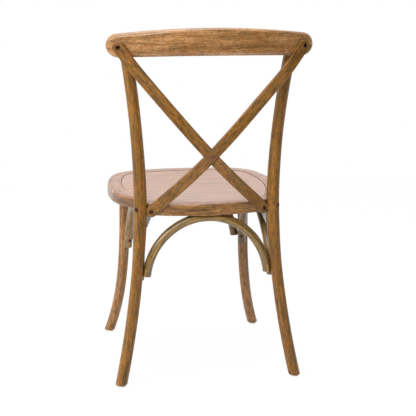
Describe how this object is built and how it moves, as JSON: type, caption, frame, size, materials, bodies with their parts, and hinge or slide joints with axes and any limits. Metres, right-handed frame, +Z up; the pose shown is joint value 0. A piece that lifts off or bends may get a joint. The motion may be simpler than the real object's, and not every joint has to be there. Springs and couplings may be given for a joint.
{
  "type": "dining chair",
  "caption": "Wooden dining chair with a bowed crest rail, a crossed slat back, a bent hoop seat with a let-in panel, bent legs and arched braces.",
  "frame": {"origin": "on the floor, at the middle of the chair's overall box in X and Y", "axes": "+Z up, -Y towards the front edge of the seat, +X towards the sitter's left"},
  "size_m": [0.5024, 0.4805, 0.89],
  "materials": {
    "frame_wood": "brown stain under satin lacquer",
    "slat_wood": "brown stain under satin lacquer",
    "arch_wood": "lighter brown stain under satin lacquer",
    "seat_frame_wood": "brown stain under satin lacquer, rubbed paler on top",
    "seat_panel_wood": "pale stain under satin lacquer",
    "plug_wood": "brown stain under satin lacquer",
    "bronzed_steel": "dark bronze finish, slightly worn",
    "brass": "dull coppery plating",
    "zinc_plate": "zinc plated steel",
    "glide_nylon": "moulded nylon"
  },
  "bodies": {
    "root": {"crest_rail": "frame_wood", "back_leg_left": "frame_wood", "back_leg_right": "frame_wood", "front_leg_left": "frame_wood", "front_leg_right": "frame_wood", "seat_frame": "seat_frame_wood", "rear_seat_rail": "seat_frame_wood", "rear_rail_dowels": "plug_wood", "seat_panel": "seat_panel_wood", "outer_cross_slat": "slat_wood", "inner_cross_slat": "slat_wood", "rear_arch": "arch_wood", "front_arch": "arch_wood", "left_arch": "arch_wood", "right_arch": "arch_wood", "corner_bracket_left": "zinc_plate", "corner_bracket_right": "zinc_plate", "slat_top_screws": "bronzed_steel", "slat_bottom_screws": "bronzed_steel", "crossing_screw": "brass", "crest_rail_screws": "zinc_plate", "crest_rail_screw_plugs": "plug_wood", "leg_bolts": "bronzed_steel", "leg_bolt_barrel_nuts": "zinc_plate", "arch_end_screws": "bronzed_steel", "arch_top_screws": "bronzed_steel", "bracket_screws": "zinc_plate", "seat_panel_screws": "zinc_plate", "floor_glides": "glide_nylon"}
  },
  "joints": []
}
